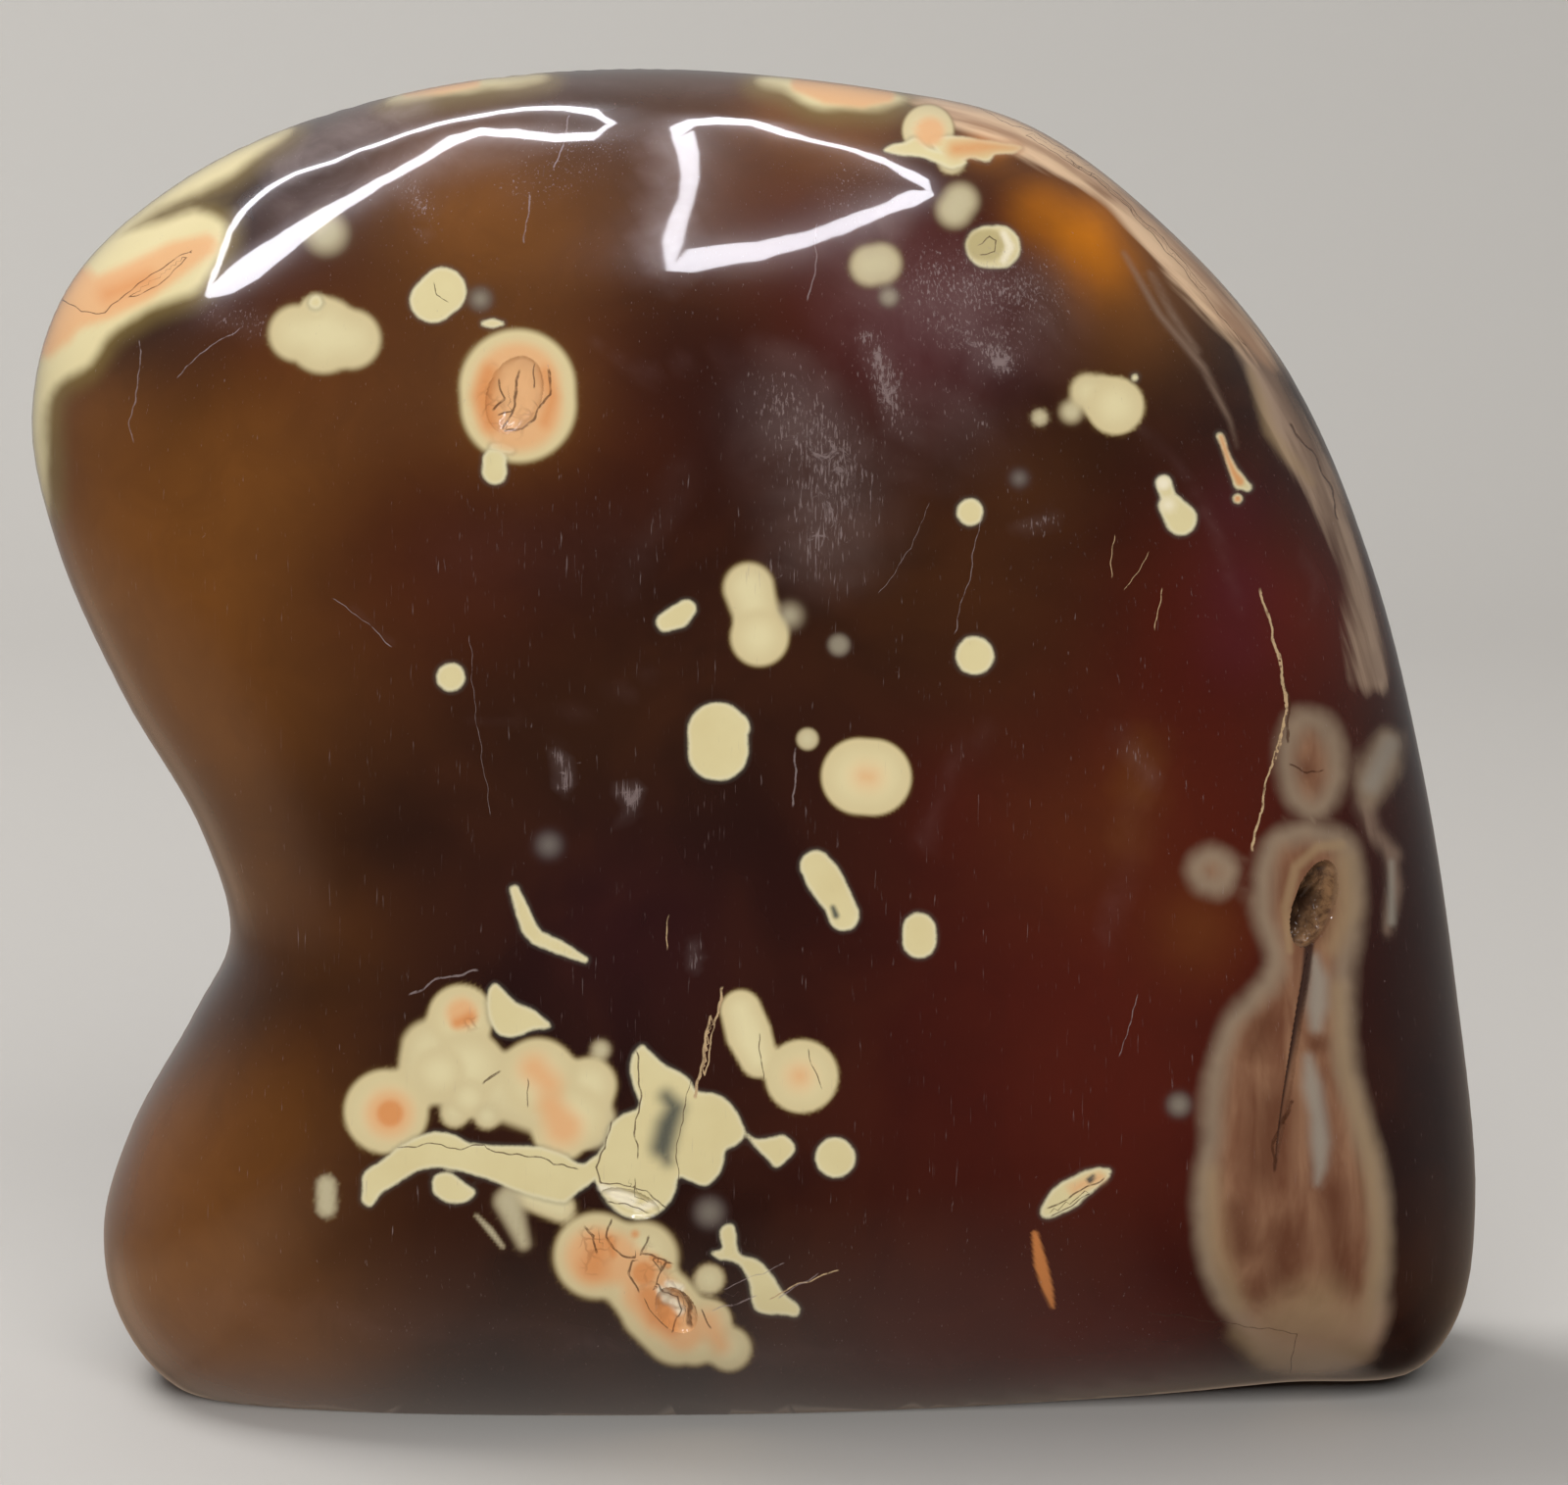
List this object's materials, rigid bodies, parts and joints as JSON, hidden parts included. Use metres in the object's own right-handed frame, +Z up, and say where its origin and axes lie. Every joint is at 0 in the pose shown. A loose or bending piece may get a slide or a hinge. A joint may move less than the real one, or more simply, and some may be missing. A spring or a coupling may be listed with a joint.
{
  "type": "polished agate freeform",
  "caption": "Standing hand-ground freeform of dark translucent agate with cream and peach nodules, a waisted side, a rounded end and a flat foot; a display stone.",
  "frame": {"origin": "on the flat foot, below the middle of the stone's box", "axes": "+X along the length from the waisted left side to the rounded right end, -Y out of the broad domed front, +Z up"},
  "size_m": [0.098, 0.042, 0.089],
  "materials": {
    "agate": "polished, glassy"
  },
  "bodies": {
    "root": {"agate_stone": "agate"}
  },
  "joints": []
}
